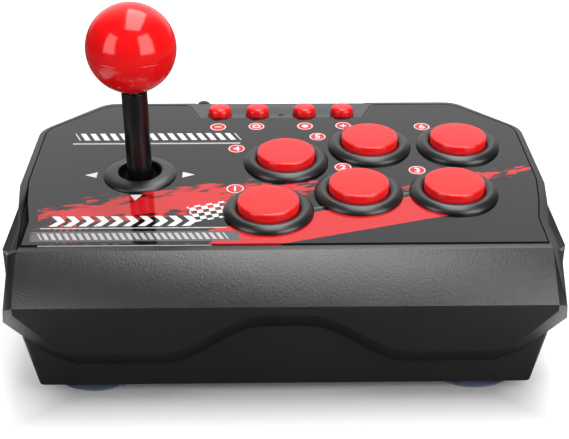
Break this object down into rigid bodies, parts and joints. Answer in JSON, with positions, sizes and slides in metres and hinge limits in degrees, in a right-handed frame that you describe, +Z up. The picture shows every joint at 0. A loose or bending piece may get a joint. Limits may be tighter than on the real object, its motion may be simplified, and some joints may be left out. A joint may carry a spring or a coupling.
{
  "type": "arcade fight stick",
  "caption": "Table-top arcade controller: ball-topped tilting stick, sprung push buttons, sunk function buttons, waved cowl on a suction-footed casing.",
  "frame": {"origin": "on the table, under the middle of the casing, the cord left out", "axes": "+X to the player's right, +Y to the rear, +Z up"},
  "size_m": [0.214, 0.2776, 0.1351],
  "materials": {
    "shell": "fine-grained matt black moulding",
    "film": "glossy printed film, black with a red, white and grey streak design",
    "base": "satin black moulding",
    "feet": "translucent soft suction rubber",
    "screws": "zinc-plated steel",
    "boards": "green circuit board",
    "switches": "black switch cases",
    "light": "clear light pipe",
    "rings": "glossy black moulding",
    "plungers": "glossy red moulding",
    "caps": "glossy red moulding",
    "springs": "drawn spring wire",
    "ball": "glossy red ball",
    "steel": "ground steel",
    "sleeve": "smooth black tube",
    "nylon": "natural acetal",
    "bracket": "black engineering plastic",
    "plug_metal": "plated steel",
    "cord": "black flexible sheath"
  },
  "bodies": {
    "housing": {"top_shell": "shell", "graphic_overlay": "film", "base_shell": "base", "foot_front_left": "feet", "foot_front_right": "feet", "foot_rear_left": "feet", "foot_rear_right": "feet", "base_screws": "screws", "main_board": "boards", "board_screws": "screws", "function_board": "boards", "function_switches": "switches", "status_light": "light", "button_1_bezel": "rings", "button_2_bezel": "rings", "button_3_bezel": "rings", "button_4_bezel": "rings", "button_5_bezel": "rings", "button_6_bezel": "rings", "button_1_spring": "springs", "button_2_spring": "springs", "button_3_spring": "springs", "button_4_spring": "springs", "button_5_spring": "springs", "button_6_spring": "springs", "button_1_switch": "switches", "button_2_switch": "switches", "button_3_switch": "switches", "button_4_switch": "switches", "button_5_switch": "switches", "button_6_switch": "switches", "stick_collar": "rings", "stick_bracket": "bracket", "restrictor_gate": "bracket", "stick_switches": "switches", "bracket_screws": "screws", "strain_relief": "cord", "usb_cord": "cord", "cord_coil": "cord", "usb_plug_body": "cord", "usb_plug_shell": "plug_metal"},
    "plunger_1": {"button_1_plunger": "plungers"},
    "plunger_2": {"button_2_plunger": "plungers"},
    "plunger_3": {"button_3_plunger": "plungers"},
    "plunger_4": {"button_4_plunger": "plungers"},
    "plunger_5": {"button_5_plunger": "plungers"},
    "plunger_6": {"button_6_plunger": "plungers"},
    "cap_1": {"function_button_1": "caps"},
    "cap_2": {"function_button_2": "caps"},
    "cap_3": {"function_button_3": "caps"},
    "cap_4": {"function_button_4": "caps"},
    "gimbal": {"gimbal_ring": "nylon"},
    "stick": {"ball_top": "ball", "stick_shaft": "steel", "shaft_sleeve": "sleeve", "pivot_hub": "nylon", "centring_cup": "nylon", "centring_spring": "springs", "actuator": "nylon", "shaft_clip": "steel"}
  },
  "joints": [
    {"name": "button_1_press", "type": "slide", "parent": "housing", "child": "plunger_1", "axis": [0, 0.0872, -0.9962], "range_m": [0, 0.0025], "stiffness_N_per_m": 150, "springref_m": -0.004, "deforming": ["button_1_spring"]},
    {"name": "button_2_press", "type": "slide", "parent": "housing", "child": "plunger_2", "axis": [0, 0.0872, -0.9962], "range_m": [0, 0.0025], "stiffness_N_per_m": 150, "springref_m": -0.004, "deforming": ["button_2_spring"]},
    {"name": "button_3_press", "type": "slide", "parent": "housing", "child": "plunger_3", "axis": [0, 0.0872, -0.9962], "range_m": [0, 0.0025], "stiffness_N_per_m": 150, "springref_m": -0.004, "deforming": ["button_3_spring"]},
    {"name": "button_4_press", "type": "slide", "parent": "housing", "child": "plunger_4", "axis": [0, 0.0872, -0.9962], "range_m": [0, 0.0025], "stiffness_N_per_m": 150, "springref_m": -0.004, "deforming": ["button_4_spring"]},
    {"name": "button_5_press", "type": "slide", "parent": "housing", "child": "plunger_5", "axis": [0, 0.0872, -0.9962], "range_m": [0, 0.0025], "stiffness_N_per_m": 150, "springref_m": -0.004, "deforming": ["button_5_spring"]},
    {"name": "button_6_press", "type": "slide", "parent": "housing", "child": "plunger_6", "axis": [0, 0.0872, -0.9962], "range_m": [0, 0.0025], "stiffness_N_per_m": 150, "springref_m": -0.004, "deforming": ["button_6_spring"]},
    {"name": "function_button_1_press", "type": "slide", "parent": "housing", "child": "cap_1", "axis": [0, 0, -1], "range_m": [0, 0.0008], "stiffness_N_per_m": 600, "springref_m": -0.001},
    {"name": "function_button_2_press", "type": "slide", "parent": "housing", "child": "cap_2", "axis": [0, 0, -1], "range_m": [0, 0.0008], "stiffness_N_per_m": 600, "springref_m": -0.001},
    {"name": "function_button_3_press", "type": "slide", "parent": "housing", "child": "cap_3", "axis": [0, 0, -1], "range_m": [0, 0.0008], "stiffness_N_per_m": 600, "springref_m": -0.001},
    {"name": "function_button_4_press", "type": "slide", "parent": "housing", "child": "cap_4", "axis": [0, 0, -1], "range_m": [0, 0.0008], "stiffness_N_per_m": 600, "springref_m": -0.001},
    {"name": "stick_fore_aft", "type": "hinge", "parent": "housing", "child": "gimbal", "pos_m": [-0.0586, 0.00143, 0.04926], "axis": [1, 0, 0], "range_deg": [-8.5, 8.5], "stiffness_Nm_per_rad": 0.6},
    {"name": "stick_side", "type": "hinge", "parent": "gimbal", "child": "stick", "pos_m": [-0.0586, 0.00143, 0.04926], "axis": [0, 0.9962, 0.0872], "range_deg": [-8.5, 8.5], "stiffness_Nm_per_rad": 0.6}
  ]
}
